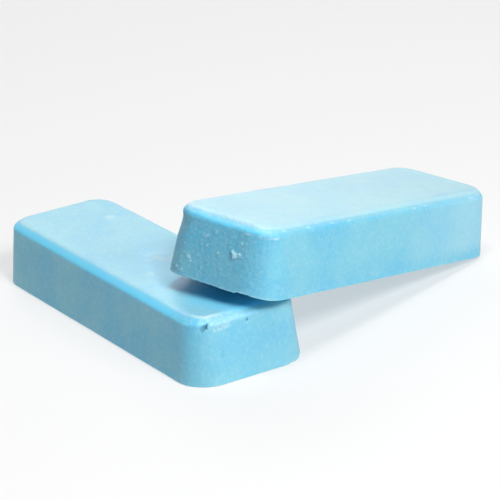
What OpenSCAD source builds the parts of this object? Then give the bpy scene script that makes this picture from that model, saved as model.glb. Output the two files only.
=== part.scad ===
// A pair of detailing clay bars from one mould. The lower bar lies flat. The upper bar
// crosses it: its underside leans on the lower bar's long top edge, and one corner of its
// base stands on the surface. Each bar is one solid block of clay.

/* [Mould] */
// Length of a bar's base, its longest size
base_length = 130; // [90:1:160]
// Width of a bar's base
base_width = 44; // [36:1:60]
// Radius of the upright corners, at the base
corner_radius = 11; // [9:0.5:16]
// Draft of all four walls, in degrees from upright
draft = 5.8; // [3:0.1:7]
// Radius of the crown that joins the walls to the top
crown_radius = 4; // [2:0.1:5]

/* [Pour] */
// Height of the lower bar
lower_height = 22; // [16:0.1:26]
// Height of the upper bar, which was poured a little fuller
upper_height = 23.2; // [16:0.1:26]

/* [Stack] */
// How steeply the upper bar leans towards the surface, in degrees
lean = 12.4; // [9:0.1:16]
// How far the upper bar is turned across the lower bar, in degrees
turn = 109; // [90:1:130]
// How far along the lower bar the middle of the upper bar is
upper_shift = 29.8; // [0:0.1:40]
// Clearance between the upper bar's underside and the edge that it leans on
clearance = 0.2; // [0.1:0.05:0.5]

/* [Hidden] */
$fn = 96;
clay_blue = [0.56, 0.81, 0.91];
// From a bar's centre to the axes of its upright corners
corner_x = base_length / 2 - corner_radius;
corner_y = base_width / 2 - corner_radius;
// Depth of the crown's centre line inside the foot of the wall
lower_crown_inset = crown_inset(lower_height);
// Centre line of the long crown that the upper bar leans on
edge_y = base_width / 2 - lower_crown_inset;
edge_z = lower_height - crown_radius;
// Furthest that the turned base reaches towards its low side
reach = corner_x * abs(sin(turn)) + corner_y * abs(cos(turn)) + corner_radius;
// Middle of the upper bar's base: its low corner is on the surface, and its underside
// passes over the edge at the stated clearance
upper_z = reach * sin(lean);
upper_y = edge_y + ((edge_z - upper_z) * cos(lean) + crown_radius + clearance) / sin(lean);

function crown_inset(height) =
    (height - crown_radius) * tan(draft) + crown_radius / cos(draft);

// Half of a wall's section, from a corner's axis out to the foot of the wall: a straight
// wall at the draft angle, then a round crown that is tangent to the wall and the top
module wall_profile(height) {
    centre = [corner_radius - crown_inset(height), height - crown_radius];
    wall_end = centre + crown_radius * [cos(draft), sin(draft)];
    difference() {
        polygon([
            [0, 0],
            [corner_radius, 0],
            [corner_radius - height * tan(draft), height],
            [0, height],
        ]);
        difference() {
            polygon([
                centre,
                wall_end,
                [corner_radius - height * tan(draft), height],
                [centre.x, height],
            ]);
            translate(centre) circle(r = crown_radius);
        }
    }
}

// Whole section across the width
module cross_section(height) {
    for (side = [0, 1])
        mirror([side, 0])
            translate([corner_y, 0])
                wall_profile(height);
    translate([-corner_y, 0]) square([2 * corner_y, height]);
}

// End wall between its two upright corners
module end_block(height) {
    translate([corner_x, corner_y, 0])
        rotate([90, 0, 0])
            linear_extrude(2 * corner_y)
                wall_profile(height);
    for (corner = [[corner_y, 0], [-corner_y, -90]])
        translate([corner_x, corner[0], 0])
            rotate([0, 0, corner[1]])
                rotate_extrude(angle = 90)
                    wall_profile(height);
}

// One bar as it leaves the mould, standing on its base
module clay_bar(height) {
    translate([-corner_x, 0, 0])
        rotate([90, 0, 90])
            linear_extrude(2 * corner_x)
                cross_section(height);
    for (end = [0, 180])
        rotate([0, 0, end])
            end_block(height);
}

module lower_bar() {
    color(clay_blue)
        clay_bar(lower_height);
}

module upper_bar() {
    color(clay_blue)
        translate([upper_shift, upper_y, upper_z])
            rotate([-lean, 0, 0])
                rotate([0, 0, turn])
                    clay_bar(upper_height);
}

lower_bar();
upper_bar();
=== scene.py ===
import math

import bpy
import numpy as np
from mathutils import Matrix, Vector, noise


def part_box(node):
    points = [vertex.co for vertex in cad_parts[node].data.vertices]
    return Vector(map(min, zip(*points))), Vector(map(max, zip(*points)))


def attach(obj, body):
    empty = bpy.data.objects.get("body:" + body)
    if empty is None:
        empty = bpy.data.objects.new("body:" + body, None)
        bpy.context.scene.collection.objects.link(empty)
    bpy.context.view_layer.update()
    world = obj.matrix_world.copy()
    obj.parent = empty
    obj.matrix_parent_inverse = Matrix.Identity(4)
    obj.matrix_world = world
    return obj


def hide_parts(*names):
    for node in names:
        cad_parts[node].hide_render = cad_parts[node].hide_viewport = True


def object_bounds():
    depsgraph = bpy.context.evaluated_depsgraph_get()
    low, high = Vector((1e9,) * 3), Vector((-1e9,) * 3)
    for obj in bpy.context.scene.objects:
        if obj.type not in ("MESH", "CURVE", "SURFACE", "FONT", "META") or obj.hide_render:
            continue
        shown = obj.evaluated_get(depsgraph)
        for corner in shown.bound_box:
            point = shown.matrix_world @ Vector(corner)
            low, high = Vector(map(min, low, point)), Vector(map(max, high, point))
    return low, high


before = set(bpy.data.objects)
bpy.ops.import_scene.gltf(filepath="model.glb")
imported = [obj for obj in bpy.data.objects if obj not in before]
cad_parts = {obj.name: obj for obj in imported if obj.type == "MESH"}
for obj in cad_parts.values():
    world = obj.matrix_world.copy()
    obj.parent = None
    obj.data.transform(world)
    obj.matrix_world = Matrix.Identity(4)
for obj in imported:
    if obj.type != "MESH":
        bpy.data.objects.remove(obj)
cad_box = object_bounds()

MM = 0.001

# ---------------------------------------------------------------------------
# The mould, as the CAD model has it
# ---------------------------------------------------------------------------
lower_low, lower_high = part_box("lower_bar")
BASE_LENGTH, BASE_WIDTH, LOWER_HEIGHT = (lower_high - lower_low) / MM
UPPER_HEIGHT = 23.2
CORNER_RADIUS = 11.0
DRAFT = math.radians(5.8)
LEAN = math.radians(12.4)
# The CAD model's 109 degrees less half a turn, so that each bar's own +X end is the near one
TURN = math.radians(109.0 - 180.0)
# The soft edge that the mould leaves round the base
FOOT_RADIUS = 0.35
# Each bar's crown as the clay shows it: how far below the top it starts, and how much of
# its turn it makes at once where it leaves the wall
LOWER_CROWN = (2.75, 0.6)
UPPER_CROWN = (3.5, 0.45)
# Shares of the crown's length where that first turn ends and where the slow one begins
QUICK_TURN_END = 0.3
SLOW_TURN_START = 0.35

CORNER_X = BASE_LENGTH / 2 - CORNER_RADIUS
CORNER_Y = BASE_WIDTH / 2 - CORNER_RADIUS

# Steps of the mesh: fine at the near end, where the surface is broken, and coarser beyond
LONG_STEPS = 190
FINEST_LONG_STEP = 0.28
SHORT_STEPS = 70
NEAR_CORNER_STEPS = 58
FAR_CORNER_STEPS = 24
BASE_STEPS = 12
FINEST_BASE_STEP = 0.3
FOOT_STEPS = 5
WALL_STEPS = 52
CROWN_STEPS = 18
TOP_STEPS = 14


def unit(vector):
    vector = np.asarray(vector, float)
    return vector / np.linalg.norm(vector)


def smooth(edge0, edge1, value):
    """0 at edge0, 1 at edge1, smooth between them and level beyond them. Where edge0 is the
    larger, it falls as value grows."""
    t = np.clip((value - edge0) / (edge1 - edge0), 0, 1)
    return t * t * (3 - 2 * t)


# ---------------------------------------------------------------------------
# Mesh of one bar in its own frame: rings that follow the wall's section from the base up
# and over the crown, closed by a grid on the base and one on the top
# ---------------------------------------------------------------------------
def graded(length, steps, finest):
    """Distances from 0 to length in steps that grow evenly from the finest one."""
    t = np.linspace(0, 1, steps + 1)
    start = finest * steps / length
    return length * (start * t + (1 - start) * t * t)


def outline():
    """The stations round a bar, anticlockwise from the near end: each is the point of the
    inner rectangle that it starts from, its outward direction and its grid place."""
    xs = CORNER_X - graded(2 * CORNER_X, LONG_STEPS, FINEST_LONG_STEP)
    ys = np.linspace(-CORNER_Y, CORNER_Y, SHORT_STEPS + 1)
    far, left = LONG_STEPS, SHORT_STEPS
    stations = []

    def edge(places, direction):
        for ix, iy in places:
            stations.append((xs[ix], ys[iy], *direction, ix, iy))

    def corner(ix, iy, start, steps):
        for step in range(1, steps):
            angle = math.radians(start + 90 * step / steps)
            stations.append((xs[ix], ys[iy], math.cos(angle), math.sin(angle), ix, iy))

    edge([(0, iy) for iy in range(left + 1)], (1, 0))
    corner(0, left, 0, NEAR_CORNER_STEPS)
    edge([(ix, left) for ix in range(far + 1)], (0, 1))
    corner(far, left, 90, FAR_CORNER_STEPS)
    edge([(far, iy) for iy in range(left, -1, -1)], (-1, 0))
    corner(far, 0, 180, FAR_CORNER_STEPS)
    edge([(ix, 0) for ix in range(far, -1, -1)], (0, -1))
    corner(0, 0, 270, NEAR_CORNER_STEPS)
    return xs, ys, np.array(stations)


def section(height, crown):
    """The wall's section from the base's flat to the top's flat, as rows of distance out
    from the inner rectangle, height, and the two parts of the normal. The crown turns
    quickly where it leaves the wall, and then slowly into the top."""
    slope, lean_out = math.tan(DRAFT), math.cos(DRAFT)
    foot_out = CORNER_RADIUS - FOOT_RADIUS * slope - FOOT_RADIUS / lean_out
    base_out = foot_out - graded(foot_out, BASE_STEPS, FINEST_BASE_STEP)[-2:0:-1]
    rows = [(r, 0, 0, -1) for r in base_out]
    for angle in np.linspace(-math.pi / 2, DRAFT, FOOT_STEPS + 1):
        c, s = math.cos(angle), math.sin(angle)
        rows.append((foot_out + FOOT_RADIUS * c, FOOT_RADIUS + FOOT_RADIUS * s, c, s))

    wall_low = np.array(rows[-1][:2])
    crown_height, crease = crown
    crown_z = height - crown_height
    wall_high = np.array([CORNER_RADIUS - crown_z * slope, crown_z])
    for t in np.linspace(0, 1, WALL_STEPS + 1)[1:]:
        r, z = wall_low + (wall_high - wall_low) * t
        rows.append((r, z, lean_out, math.sin(DRAFT)))

    t = np.linspace(0, 1, CROWN_STEPS + 1)
    turned = (crease * smooth(0, QUICK_TURN_END, t)
              + (1 - crease) * smooth(SLOW_TURN_START, 1, t))
    tilt = DRAFT + (math.pi / 2 - DRAFT) * turned
    between = (tilt[1:] + tilt[:-1]) / 2
    step = crown_height / np.cos(between).sum()
    crown_r = wall_high[0] - step * np.sin(between).cumsum()
    crown_up = crown_z + step * np.cos(between).cumsum()
    rows += zip(crown_r, crown_up, np.cos(tilt[1:]), np.sin(tilt[1:]))
    rows += [(r, height, 0, 1) for r in crown_r[-1] * np.linspace(1, 0, TOP_STEPS + 1)[1:-1]]
    return np.array(rows)


def bar_surface(height, crown):
    """Points, normals and faces of a plain bar."""
    xs, ys, stations = outline()
    rows = section(height, crown)
    count = len(stations)
    grid_x, grid_y = np.meshgrid(xs, ys, indexing="ij")
    flat = np.column_stack([grid_x.ravel(), grid_y.ravel(), np.zeros(grid_x.size)])
    down = np.tile([0.0, 0.0, -1.0], (len(flat), 1))
    core, out = stations[:, :2], stations[:, 2:4]
    points, normals = [flat], [down]
    for r, z, normal_out, normal_up in rows:
        points.append(np.column_stack([core + out * r, np.full(count, z)]))
        normals.append(np.column_stack([out * normal_out, np.full(count, normal_up)]))
    points.append(flat + [0, 0, height])
    normals.append(-down)

    across = SHORT_STEPS + 1
    place = (stations[:, 4] * across + stations[:, 5]).astype(int)
    first_ring = len(flat)
    top_grid = first_ring + len(rows) * count
    rings = [place, *(first_ring + i * count + np.arange(count) for i in range(len(rows))),
             place + top_grid]
    faces = []
    for inner, outer in zip(rings, rings[1:]):
        for k in range(count):
            n = (k + 1) % count
            loop = [inner[k], inner[n], outer[n], outer[k]]
            loop = [v for i, v in enumerate(loop) if v != loop[i - 1]]
            if len(loop) > 2:
                faces.append(loop)
    for ix in range(LONG_STEPS):
        for iy in range(SHORT_STEPS):
            a = ix * across + iy
            b, c, d = a + 1, a + across + 1, a + across
            faces.append([a, d, c, b])
            faces.append([top_grid + v for v in (a, b, c, d)])
    return np.vstack(points), np.vstack(normals), faces


# ---------------------------------------------------------------------------
# Marks in the clay
# ---------------------------------------------------------------------------
class Surface:
    """One bar's points, and what its marks do to them."""

    def __init__(self, points, normals):
        self.points, self.normals = points, normals
        self.x, self.y, self.z = points.T
        self.up = normals[:, 2]
        self.height = np.zeros(len(points))
        self.lift = np.zeros(len(points))
        self.pale = np.zeros(len(points))
        self.dark = np.zeros(len(points))
        self.rough = np.zeros(len(points))
        self.clear = np.zeros(len(points))

    def mark(self, shape, height=0.0, pale=0.0, dark=0.0):
        """Adds a mark whose shape is 0 to 1 at each point. It stands out by height, is made
        paler by pale and darker by dark, where dark is painted shade."""
        self.height += height * shape
        self.pale += pale * shape
        self.dark += dark * shape

    def pits(self, places, dark=0.0):
        """Round pits, each with its centre, radius and depth; dark paints shade into them."""
        for centre, radius, depth in places:
            self.mark(dot(self.points, centre, radius), -depth, dark=dark)

    def facets(self, places, pale=0.0, dark=0.0):
        """Flat three-cornered marks, each with its corners and how far they stand out."""
        for corners, heights in places:
            height, inside = facet(self.points, corners, heights)
            self.height += height
            self.mark(inside, pale=pale, dark=dark)

    def moved(self):
        """The points where the marks leave them."""
        points = self.points + self.normals * self.height[:, None]
        points[:, 2] += self.lift
        return points


# How far each seed moves the noise, and what brings its values to about -1 to 1
SEED_SHIFT = (7.31, 3.17, 5.53)
NOISE_GAIN = 1.6


def ripple(points, size, seed):
    """Smooth noise from about -1 to 1, with bumps of about that size."""
    shift = Vector([seed * part for part in SEED_SHIFT])
    return np.array([noise.noise(Vector(p) / size + shift) for p in points]) * NOISE_GAIN


def speckle(points, size, seed, where, least):
    """Small uneven spots, 0 to 1, on the part of the bar where the mask is above 0. A spot
    is wherever the noise is above least, so a lower least makes more of them."""
    spots = np.zeros(len(points))
    inside = where > 0.001
    spots[inside] = smooth(least, least + 0.45, ripple(points[inside], size, seed))
    return spots * where


def dot(points, centre, radius, steep=2.0):
    """A round mark, 1 at its centre and 0 from its radius on. A higher steep keeps more of
    it near 1."""
    distance = np.linalg.norm(points - np.asarray(centre, float), axis=1) / radius
    return np.clip(1 - distance ** steep, 0, 1) ** 1.5


def line(points, path, width, fade=0.2):
    """A line along a path of straight stretches. It fades at both ends."""
    path = np.asarray(path, float)
    lengths = np.linalg.norm(np.diff(path, axis=0), axis=1)
    nearest = np.full(len(points), np.inf)
    place = np.zeros(len(points))
    run = 0.0
    for start, end, length in zip(path, path[1:], lengths):
        t = np.clip((points - start) @ (end - start) / length ** 2, 0, 1)
        distance = np.linalg.norm(points - start - t[:, None] * (end - start), axis=1)
        closer = distance < nearest
        nearest[closer] = distance[closer]
        place[closer] = (run + t[closer] * length) / lengths.sum()
        run += length
    profile = np.clip(1 - (nearest / width) ** 2, 0, 1) ** 1.5
    return profile * smooth(0, fade, place) * smooth(0, fade, 1 - place)


def facet(points, corners, heights):
    """A flat three-cornered mark, which ends at a sharp step along its sides: how far it
    stands out, from the heights at its corners, and where it is."""
    # How far off the mark's flat a point may lie and still belong to it
    reach = 2.5
    a, b, c = np.asarray(corners, float)
    u, v = b - a, c - a
    share = (points - a) @ np.linalg.inv(np.column_stack([u, v, unit(np.cross(u, v))])).T
    third = 1 - share[:, 0] - share[:, 1]
    inside = (share[:, 0] > 0) & (share[:, 1] > 0) & (third > 0) & (abs(share[:, 2]) < reach)
    height = heights[0] * third + heights[1] * share[:, 0] + heights[2] * share[:, 1]
    return np.where(inside, height, 0.0), inside.astype(float)


def on_end(y, z):
    """The point of the near end's wall at that place across and that height."""
    radius = CORNER_RADIUS - z * math.tan(DRAFT)
    past = max(abs(y) - CORNER_Y, 0.0)
    return np.array([CORNER_X + math.sqrt(radius ** 2 - past ** 2), y, z])


def cast_skin(surface, seed):
    """How a poured face is never quite flat. It only ever goes inwards."""
    mean_depth = 0.10
    waves = 0.0
    for step, (size, share) in enumerate(((26.0, 0.5), (9.0, 0.2), (2.2, 0.12))):
        waves = waves + ripple(surface.points, size, seed + step) * share
    surface.height -= mean_depth * (1 + np.clip(waves, -1, 1))


def dish(surface):
    """The base is the open face of the mould, so the clay shrinks into it a little."""
    depth = 0.5
    inset = np.minimum(BASE_LENGTH / 2 - abs(surface.x), BASE_WIDTH / 2 - abs(surface.y))
    surface.height -= depth * smooth(1.5, 9.0, inset) * (surface.up < -0.9)


def film_sheen_and_glow(surface, on_top, on_edge, reach, glow_side, seed):
    """The pale film on the top and down the crown as far as reach, as an upward part of the
    normal, partly left by handling and partly painted sheen. It is thickest at its edge. Below
    it the crown gets painted glow, a bright blue, most of it where it faces the given shaded side."""
    film_and_sheen = smooth(reach, min(reach + 0.2, 0.99), surface.up)
    edge = film_and_sheen * smooth(0.998, 0.96, surface.up)
    patchy = 0.75 + 0.25 * ripple(surface.points, 3.0, seed)
    surface.pale += on_top * film_and_sheen + (on_edge - on_top) * edge * patchy
    faces_side = smooth(-0.1, 0.8, surface.normals @ np.array(glow_side))
    ragged = surface.up + 0.12 * ripple(surface.points, 1.6, seed + 1)
    surface.clear = smooth(0.12, 0.60, ragged) * (1 - film_and_sheen) * (0.12 + 0.88 * faces_side)


def lower_marks(bar):
    """The lower bar's marks, most of them round the near end's top edge."""
    points = bar.points
    # Pale film, partly painted sheen, and painted glow on the crown over the shaded long side
    film_sheen_and_glow(bar, 0.16, 0.28, 0.86, (0, -1, 0), 10)
    # Gouge on the near corner: it deepens to the right and ends at a step, and is darkened with
    # painted shade
    top, left = (61.6, -13.8, 20.6), (60.9, -17.0, 19.0)
    foot, right = (61.5, -16.5, 17.2), (62.3, -14.8, 18.9)
    bar.facets((((top, left, right), (-1.2, -0.3, -2.0)),
                ((left, foot, right), (-0.3, -0.6, -2.0))), dark=0.3)
    # Beside the gouge the crown has less painted glow, and is mottled
    off_top = smooth(0.99, 0.92, bar.up)
    duller = smooth(44.0, 60.0, bar.x) * off_top
    bar.clear *= 1 - 0.6 * duller
    left_side = duller * smooth(0.1, 0.3, bar.up) * smooth(-12.0, -15.0, bar.y)
    bar.mark(speckle(points, 1.1, 15, left_side, -0.2), 0.03, pale=0.16)
    # Rough pale patch to its right, with small holes
    crown = smooth(0.1, 0.3, bar.up) * off_top * smooth(57.0, 60.5, bar.x)
    spread = crown * (smooth(-15.5, -13.0, bar.y) * smooth(5.0, -5.0, bar.y))
    bar.mark(spread, pale=0.15)
    bar.mark(speckle(points, 0.9, 12, spread, 0.0), 0.05, pale=0.15)
    patch = line(points, [(62.8, -13.4, 18.6), (63.1, -10.4, 18.5), (63.0, -6.5, 19.0)],
                 1.5, 0.1)
    bar.mark(patch, -0.05, pale=0.16)
    bar.mark(speckle(points, 0.8, 13, patch, 0.0), 0.10, pale=0.18)
    # The small holes are darkened with painted shade
    bar.pits((((63.0, -12.1, 18.4), 0.5, 0.4), ((63.1, -10.4, 18.6), 0.45, 0.35),
              ((63.1, -9.3, 18.7), 0.35, 0.3), ((63.0, -11.2, 19.0), 0.35, 0.2)), dark=0.35)
    # The near end is a little paler than the sides
    bar.pale += 0.06 * smooth(0.6, 0.9, bar.normals[:, 0])
    # Air hole, and shallower ones, all darkened with painted shade
    bar.mark(dot(points, (63.2, -0.7, 18.5), 0.48, steep=4), -1.6, dark=1.0)
    bar.pits((((63.4, 10.5, 16.1), 0.6, 0.3), ((63.5, 8.4, 14.7), 0.6, 0.25),
              ((63.3, 9.6, 17.0), 0.5, 0.2), ((64.1, -10.9, 9.0), 0.9, 0.25),
              ((64.0, -10.6, 10.4), 0.7, 0.15), ((-24.8, 0.2, 22.0), 0.6, 0.2)), dark=0.12)
    # Soft lip where the top meets the crown, highest at the corner; its pale line is a painted
    # highlight
    lip = line(points, [(52.5, -16.1, 22.0), (57.6, -15.7, 21.9), (59.6, -13.9, 21.8),
                        (59.9, -10.3, 21.9), (59.5, -5.0, 22.0)], 1.0, 0.45)
    bar.mark(lip, 0.10, pale=0.40)
    # Smears on the top
    for centre, radius in (((5.0, 1.4, 22.0), 7.0), ((16.9, -6.7, 22.0), 4.5),
                           ((-39.4, 8.6, 22.0), 3.5), ((20.0, 3.0, 22.0), 6.0)):
        area = smooth(1.0, 0.2, np.linalg.norm(points - centre, axis=1) / radius)
        bar.mark(speckle(points, 3.2, 14, area, -0.3), 0.06, pale=0.24)
    # Under the upper bar the film is wiped away, and the clay gets painted light, bright blue in
    # the upper bar's shade
    on_top = smooth(0.8, 0.95, bar.up)
    wiped_and_painted_light = line(points, [(30.0, 2.0, 22.0), (45.0, -1.0, 22.0), (66.0, 6.0, 22.0)], 15.0, 0.1)
    wiped_and_painted_light *= on_top
    bar.pale *= 1 - wiped_and_painted_light
    bar.clear = np.maximum(bar.clear, 0.75 * wiped_and_painted_light)
    # Painted light in a strip along the top beside the upper bar: paler and bright blue against the
    # upper bar's shade and dark reflection there
    painted_light_strip = line(points, [(-8.0, 6.0, 22.0), (10.0, -0.5, 22.0), (38.0, -8.5, 22.0)], 9.0, 0.25)
    painted_light_strip *= on_top * (1 - wiped_and_painted_light)
    bar.pale += 0.07 * painted_light_strip
    bar.clear = np.maximum(bar.clear, 0.8 * painted_light_strip)
    # Dents in the base's edge at the near end's right corner
    bar.pits((((64.3, 14.2, 1.5), 2.2, 0.45), ((60.5, 19.0, 0.8), 2.0, 0.35)))


# How many small crumbs stuck to the upper bar's near end
CRUMBS = 120


def upper_marks(bar):
    """The upper bar's marks, most of them on its near end."""
    points = bar.points
    # Pale film, partly painted sheen, and painted glow on the crown, most of it over the shaded
    # near end
    film_sheen_and_glow(bar, 0.40, 0.50, 0.62, (0.8, -0.6, 0), 20)
    end = smooth(0.45, 0.9, bar.normals[:, 0]) * smooth(0.2, 0.11, bar.up)
    # The end tore a little as it left the mould: it is rough all over
    bar.rough += end
    # The whole end is darkened with painted shade
    bar.dark += 0.2 * end
    near = end > 0.001
    bar.height[near] += end[near] * (0.06 * ripple(points[near], 1.4, 21)
                                     + 0.03 * ripple(points[near], 0.7, 22))
    bar.mark(speckle(points, 0.75, 23, end, 0.35), 0.08, pale=0.12)
    # Crumbs that stuck to it, more of them towards its top
    random = np.random.default_rng(7)
    for _ in range(CRUMBS):
        y = random.uniform(-17, 14)
        z = 19.0 * random.uniform(0.05, 1) ** 0.7
        size = random.uniform(0.3, 0.55)
        bar.mark(dot(points, on_end(y, z), size), 0.5 * size, pale=0.2)
    # Flakes
    large = ((64.0, 6.4, 13.6), (64.0, 7.3, 10.7), (64.0, 9.4, 12.0))
    small = ((64.0, 9.0, 13.2), (64.0, 9.2, 11.7), (64.0, 10.4, 12.6))
    bar.facets(((large, (1.1, 1.0, 0.0)), (small, (0.6, 0.5, 0.0))), pale=0.38)
    # Larger crumbs, and a scratch with two arms
    for y, z, radius, tall in ((9.5, 16.2, 0.7, 0.5), (-10.1, 7.2, 1.1, 0.5),
                               (-9.0, 6.0, 0.7, 0.35), (-14.5, 2.8, 0.8, 0.4),
                               (-11.9, 2.2, 0.8, 0.4), (-13.2, 2.0, 0.6, 0.3)):
        bar.mark(dot(points, on_end(y, z), radius), tall, pale=0.3)
    scratch = [on_end(-6.2, 16.4), on_end(-4.7, 14.8), on_end(-3.9, 16.4)]
    bar.mark(line(points, scratch, 0.45, 0.1), 0.2, pale=0.4)
    # At the left corner the crown is sharper and has less painted glow, and the wall pulls in below
    # it
    sharp = line(points, [(62.3, -4.0, 21.0), (62.0, -12.0, 21.0), (60.5, -17.5, 21.0),
                          (57.0, -20.0, 21.0)], 3.2, 0.3)
    bar.mark(sharp, 0.62)
    bar.clear *= 1 - sharp * smooth(21.3, 20.3, bar.z)
    bar.mark(dot(points, (61.0, -16.7, 16.8), 6.0), -0.6)
    # Thin burr where the wall meets the crown, with a hook at the corner, and the crease
    # beyond it
    burr = line(points, [(63.1, 8.5, 19.6), (63.0, 11.0, 19.6), (61.8, 15.4, 19.5),
                         (61.5, 16.2, 18.9)], 0.4, 0.3)
    bar.mark(burr, 0.28, pale=0.5)
    crease = line(points, [(61.6, 15.8, 19.2), (58.5, 18.7, 19.4), (53.1, 19.9, 20.0)], 0.5)
    bar.mark(crease, 0.15, pale=0.6)
    # Faint ridge down the end's right corner
    bar.mark(line(points, [on_end(16.2, 18.5), on_end(16.6, 9.0)], 1.0, 0.3), 0.1)
    # Flecks on the crown's edge, and pale ticks along the crown of the long side
    edge = smooth(0.5, 0.68, bar.up) * smooth(0.97, 0.85, bar.up) * smooth(56.0, 59.0, bar.x)
    bar.mark(speckle(points, 0.8, 24, edge, 0.0), 0.05, pale=0.18)
    for x, y, z, length in ((37.7, 18.6, 22.2, 1.0), (42.8, 19.2, 21.4, 3.4),
                            (54.9, 19.0, 21.7, 2.6), (30.0, 19.2, 21.5, 3.0),
                            (21.0, 19.4, 21.2, 2.4), (-15.9, 19.4, 21.2, 3.0),
                            (-22.5, 19.3, 21.4, 2.6), (-50.0, 19.4, 21.2, 5.0),
                            (-54.5, 19.0, 21.6, 3.0)):
        path = [(x - length / 2, y, z), (x + length / 2, y - 0.2, z + 0.2)]
        bar.mark(line(points, path, 0.4, 0.4), 0.10, pale=0.45)
    # Paler towards the far end of the long side
    side = smooth(0.6, 0.9, bar.normals[:, 1])
    bar.mark(side * smooth(0.0, -50.0, bar.x) * smooth(1.0, 6.0, bar.z), pale=0.2)
    # The base's edge at the near end is bowed up, more so to the right of a step, and torn
    # into fine teeth
    low_end = smooth(50.0, 63.0, bar.x) * smooth(9.0, 0.0, bar.z)
    step = smooth(9.4, 11.0, bar.y) * smooth(20.5, 12.5, bar.y)
    bow = np.clip(1 - (bar.y / 20) ** 4, 0, 1)
    bar.lift += low_end * (0.5 * bow + 0.6 * step)
    rim = smooth(1.3, 0.2, bar.z) * (smooth(0.35, 0.8, bar.normals[:, 0]) + (bar.up < -0.5))
    rim = np.clip(rim, 0, 1) * smooth(60.0, 63.0, bar.x)
    bar.lift += 0.2 * speckle(points * (1, 1, 0.1), 0.6, 25, rim, -0.2)
    edge = smooth(0.9, 0.3, bar.z) * smooth(-0.9, -0.2, bar.up)
    bar.mark(edge * smooth(54.0, 60.0, bar.x), pale=0.3)


# ---------------------------------------------------------------------------
# Clay
# ---------------------------------------------------------------------------
def linear(red, green, blue):
    """A colour's linear values, from screen values of 0 to 255."""
    def channel(value):
        value /= 255
        return value / 12.92 if value <= 0.04045 else ((value + 0.055) / 1.055) ** 2.4
    return (channel(red), channel(green), channel(blue), 1.0)


# The clay's colours: its own two blues, the dust on its skin, the bright blue of painted light on
# crowns and by the upper bar, the film, partly painted sheen, and painted shade in holes, tears and
# the upper end
CLAY_BLUE = linear(98, 183, 212)
CLAY_GREEN_BLUE = linear(117, 190, 210)
DUST = linear(177, 212, 221)
PAINTED_GLOW_BLUE = linear(112, 212, 248)
FILM_AND_SHEEN = linear(215, 233, 233)
SHADE = linear(40, 112, 148)


class Tree:
    """Small helpers that keep a material's node tree readable."""

    def __init__(self, material):
        material.use_nodes = True
        self.nodes = material.node_tree.nodes
        self.links = material.node_tree.links
        self.shader = self.nodes["Principled BSDF"]

    def attribute(self, name):
        node = self.nodes.new("ShaderNodeAttribute")
        node.attribute_name = name
        return node.outputs["Fac"]

    def place(self, stretch=(1, 1, 1)):
        """Where a point is on its own bar, in millimetres times stretch."""
        source = self.nodes.new("ShaderNodeAttribute")
        source.attribute_name = "on_bar"
        mapping = self.nodes.new("ShaderNodeMapping")
        mapping.inputs["Scale"].default_value = stretch
        self.links.new(source.outputs["Vector"], mapping.inputs["Vector"])
        return mapping.outputs["Vector"]

    def noise(self, size, detail, stretch=(1, 1, 1), rough=0.5):
        """Noise with features of about size millimetres."""
        node = self.nodes.new("ShaderNodeTexNoise")
        node.inputs["Scale"].default_value = 1 / size
        node.inputs["Detail"].default_value = detail
        node.inputs["Roughness"].default_value = rough
        self.links.new(self.place(stretch), node.inputs["Vector"])
        return node.outputs["Fac"]

    def ramp(self, value, low, high, at_low=0.0, at_high=1.0):
        """value from low to high as at_low to at_high, held at both ends."""
        node = self.nodes.new("ShaderNodeMapRange")
        node.interpolation_type = "SMOOTHSTEP"
        for name, number in (("From Min", low), ("From Max", high),
                             ("To Min", at_low), ("To Max", at_high)):
            node.inputs[name].default_value = number
        self.links.new(value, node.inputs["Value"])
        return node.outputs["Result"]

    def math(self, operation, first, second):
        node = self.nodes.new("ShaderNodeMath")
        node.operation = operation
        for socket, value in zip(node.inputs, (first, second)):
            if isinstance(value, (int, float)):
                socket.default_value = value
            else:
                self.links.new(value, socket)
        return node.outputs["Value"]

    def mix(self, share, first, second):
        """A colour that goes from first to second as share goes from 0 to 1."""
        node = self.nodes.new("ShaderNodeMix")
        node.data_type = "RGBA"
        self.links.new(share, node.inputs["Factor"])
        for socket, colour in ((node.inputs[6], first), (node.inputs[7], second)):
            if isinstance(colour, tuple):
                socket.default_value = colour
            else:
                self.links.new(colour, socket)
        return node.outputs[2]

    def bump(self, height, distance, strength, under=None):
        """A bump of up to distance millimetres, on top of another if one is given."""
        node = self.nodes.new("ShaderNodeBump")
        node.inputs["Distance"].default_value = distance * MM
        node.inputs["Strength"].default_value = strength
        self.links.new(height, node.inputs["Height"])
        if under is not None:
            self.links.new(under, node.inputs["Normal"])
        return node.outputs["Normal"]


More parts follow.
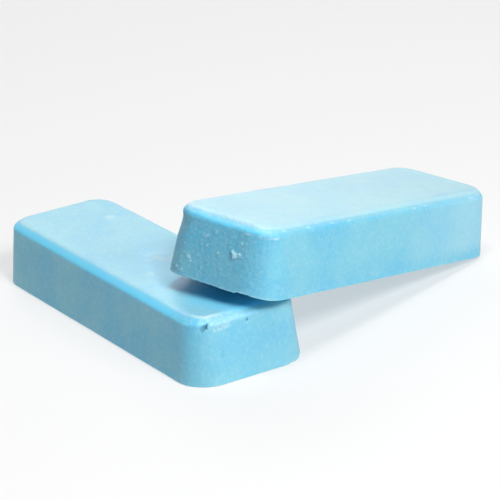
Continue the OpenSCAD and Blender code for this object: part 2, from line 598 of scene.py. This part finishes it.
def clay_material():
    """Waxy blue clay: a semi-matte skin over a body that lets a little light through."""
    material = bpy.data.materials.new("clay")
    tree = Tree(material)
    shader = tree.shader
    # Cloudy where the pour mixed, mottled where dust clings to the skin
    cloud = tree.ramp(tree.noise(18.0, 3.0), 0.35, 0.65)
    mottle = tree.ramp(tree.noise(1.3, 4.0, rough=0.65), 0.42, 0.72)
    colour = tree.mix(cloud, CLAY_BLUE, CLAY_GREEN_BLUE)
    colour = tree.mix(tree.math("MULTIPLY", mottle, 0.24), colour, DUST)
    # Painted glow, the film with its painted sheen, and painted shade, over the clay's own colour
    colour = tree.mix(tree.attribute("clear"), colour, PAINTED_GLOW_BLUE)
    colour = tree.mix(tree.attribute("pale"), colour, FILM_AND_SHEEN)
    colour = tree.mix(tree.attribute("dark"), colour, SHADE)
    tree.links.new(colour, shader.inputs["Base Color"])
    sheen = tree.ramp(tree.noise(5.0, 4.0), 0.3, 0.7, 0.38, 0.47)
    tree.links.new(sheen, shader.inputs["Roughness"])
    # Fine grain all over, coarser where the clay tore, and drag lines down the walls
    rough = tree.attribute("rough")
    grain = tree.bump(tree.noise(0.7, 3.0), 0.05, 0.5)
    torn = tree.math("MULTIPLY", tree.noise(1.1, 3.0, rough=0.65), rough)
    grain = tree.bump(torn, 0.22, 1.0, grain)
    lines = tree.noise(1.4, 3.0, stretch=(1, 1, 0.12))
    drag = tree.math("MULTIPLY", lines, tree.attribute("wall"))
    tree.links.new(tree.bump(drag, 0.05, 0.35, grain), shader.inputs["Normal"])
    shader.inputs["IOR"].default_value = 1.5
    shader.inputs["Subsurface Weight"].default_value = 0.5
    shader.inputs["Subsurface Radius"].default_value = (0.8, 2.6, 4.0)
    shader.inputs["Subsurface Scale"].default_value = MM
    return material


# How far apart the material's noise lies on two bars whose seeds are 1 apart
NOISE_SPACING = 100


def build_bar(name, height, crown, seed, marks, material, placing):
    """Makes one bar's mesh in the row frame, with what the clay's material reads."""
    points, normals, faces = bar_surface(height, crown)
    surface = Surface(points, normals)
    marks(surface)
    cast_skin(surface, seed)
    dish(surface)
    points = surface.moved()
    placed = (np.column_stack([points, np.ones(len(points))]) @ np.array(placing).T)[:, :3]
    mesh = bpy.data.meshes.new(name)
    mesh.from_pydata(placed * MM, [], faces)
    mesh.shade_smooth()
    layers = (("pale", np.clip(surface.pale, 0, 1)), ("dark", np.clip(surface.dark, 0, 1)),
              ("rough", surface.rough), ("clear", np.clip(surface.clear, 0, 1)),
              ("wall", smooth(0.5, 0.1, abs(surface.up))))
    for label, values in layers:
        layer = mesh.attributes.new(label, "FLOAT", "POINT")
        layer.data.foreach_set("value", values.astype(np.float32))
    on_bar = mesh.attributes.new("on_bar", "FLOAT_VECTOR", "POINT")
    in_noise = (points + seed * NOISE_SPACING).astype(np.float32)
    on_bar.data.foreach_set("vector", in_noise.ravel())
    mesh.materials.append(material)
    piece = bpy.data.objects.new(name, mesh)
    bpy.context.collection.objects.link(piece)
    return piece


def upper_placing():
    """Where the upper bar leans: its base's outline touches the CAD node's box."""
    turn = Matrix.Rotation(-LEAN, 4, "X") @ Matrix.Rotation(TURN, 4, "Z")
    _, _, stations = outline()
    foot = np.column_stack([stations[:, :2] + stations[:, 2:4] * CORNER_RADIUS,
                            np.zeros(len(stations))])
    lowest = (foot @ np.array(turn.to_3x3()).T).min(0)
    return Matrix.Translation(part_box("upper_bar")[0] / MM - Vector(lowest)) @ turn


# The upper bar's seed is 4 past the lower's, because each bar's skin uses its own and the
# next two
clay = clay_material()
lower = build_bar("lower_clay_bar", LOWER_HEIGHT, LOWER_CROWN, 1, lower_marks, clay,
                  Matrix.Identity(4))
upper = build_bar("upper_clay_bar", UPPER_HEIGHT, UPPER_CROWN, 5, upper_marks, clay,
                  upper_placing())
for piece, node in ((lower, "lower_bar"), (upper, "upper_bar")):
    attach(piece, node)
    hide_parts(node)

# ---------------------------------------------------------------------------
# Camera, floor and lamps
# ---------------------------------------------------------------------------
# The lamps face the middle of the CAD model's box, and the camera aims at AIM
MIDDLE = (cad_box[0] + cad_box[1]) / 2
VIEW_AZIMUTH = math.radians(58.7)
VIEW_ELEVATION = math.radians(20.75)
VIEW_ROLL = math.radians(-3.7)
VIEW_DISTANCE = 0.880
VIEW_LENS = 188.2
AIM = Vector((4.4, 37.7, 15.0)) * MM

# Half the floor's side, how much light it returns, and how much it adds, so that it looks
# nearly white
FLOOR_HALF = 6.0
FLOOR_GREY = 0.4
FLOOR_GLOW = 0.48
# The world's glow at the horizon, and the heights between which it fades to nothing
HORIZON_GLOW = 0.8
HORIZON_FADE = (0.04, 0.18)
# Square lamps: name, azimuth and elevation in degrees, distance and side in metres, watts
LAMPS = (
    ("key", 85, 40, 1.2, 0.3, 9.8),
    ("key_low", 100, 30, 1.2, 0.35, 2.7),
    ("top", 60, 80, 1.2, 0.5, 7.4),
    ("backdrop_low", 245, 20, 1.5, 1.0, 3.6),
    ("backdrop_right", 265, 25, 1.5, 1.0, 1.9),
    ("backdrop_high", 240, 40, 1.5, 0.8, 3.7),
)


def towards(azimuth, elevation):
    """The direction from the object to something seen at that azimuth and elevation."""
    return Vector((math.sin(azimuth) * math.cos(elevation),
                   -math.cos(azimuth) * math.cos(elevation), math.sin(elevation)))


def make_camera():
    camera = bpy.data.objects.new("camera", bpy.data.cameras.new("camera"))
    back = towards(VIEW_AZIMUTH, VIEW_ELEVATION)
    camera.location = AIM + back * VIEW_DISTANCE
    level = (-back).to_track_quat("-Z", "Y")
    camera.rotation_mode = "QUATERNION"
    camera.rotation_quaternion = level @ Matrix.Rotation(VIEW_ROLL, 3, "Z").to_quaternion()
    camera.data.lens = VIEW_LENS
    camera.data.sensor_width = 36
    camera.data.clip_start, camera.data.clip_end = 0.01, 50
    bpy.context.collection.objects.link(camera)
    bpy.context.scene.camera = camera


def make_lamp(name, azimuth, elevation, distance, size, power):
    """A square softbox that faces the object."""
    lamp = bpy.data.objects.new(name, bpy.data.lights.new(name, "AREA"))
    direction = towards(math.radians(azimuth), math.radians(elevation))
    lamp.location = MIDDLE + direction * distance
    lamp.rotation_euler = direction.to_track_quat("Z", "Y").to_euler()
    lamp.data.shape = "SQUARE"
    lamp.data.size = size
    lamp.data.energy = power
    bpy.context.collection.objects.link(lamp)


def make_floor():
    mesh = bpy.data.meshes.new("floor")
    corners = [(x * FLOOR_HALF, y * FLOOR_HALF, 0) for x, y in ((-1, -1), (1, -1), (1, 1), (-1, 1))]
    mesh.from_pydata(corners, [], [(0, 1, 2, 3)])
    material = bpy.data.materials.new("floor")
    material.use_nodes = True
    shader = material.node_tree.nodes["Principled BSDF"]
    shader.inputs["Base Color"].default_value = (FLOOR_GREY, FLOOR_GREY, FLOOR_GREY, 1)
    shader.inputs["Roughness"].default_value = 0.9
    shader.inputs["Specular IOR Level"].default_value = 0.1
    shader.inputs["Emission Color"].default_value = (1, 1, 1, 1)
    shader.inputs["Emission Strength"].default_value = FLOOR_GLOW
    mesh.materials.append(material)
    floor = bpy.data.objects.new("floor", mesh)
    bpy.context.collection.objects.link(floor)


def make_world():
    """A pale horizon under a dark ceiling, so that the lamps shape the light."""
    world = bpy.data.worlds.new("studio")
    world.use_nodes = True
    nodes, links = world.node_tree.nodes, world.node_tree.links
    direction = nodes.new("ShaderNodeTexCoord")
    height = nodes.new("ShaderNodeSeparateXYZ")
    fall = nodes.new("ShaderNodeMapRange")
    low, high = HORIZON_FADE
    for name, number in (("From Min", low), ("From Max", high), ("To Min", 1.0), ("To Max", 0.0)):
        fall.inputs[name].default_value = number
    links.new(direction.outputs["Generated"], height.inputs["Vector"])
    links.new(height.outputs["Z"], fall.inputs["Value"])
    links.new(fall.outputs["Result"], nodes["Background"].inputs["Color"])
    nodes["Background"].inputs["Strength"].default_value = HORIZON_GLOW
    bpy.context.scene.world = world


make_camera()
make_floor()
make_world()
for lamp_row in LAMPS:
    make_lamp(*lamp_row)
bpy.context.scene.view_settings.view_transform = "Standard"
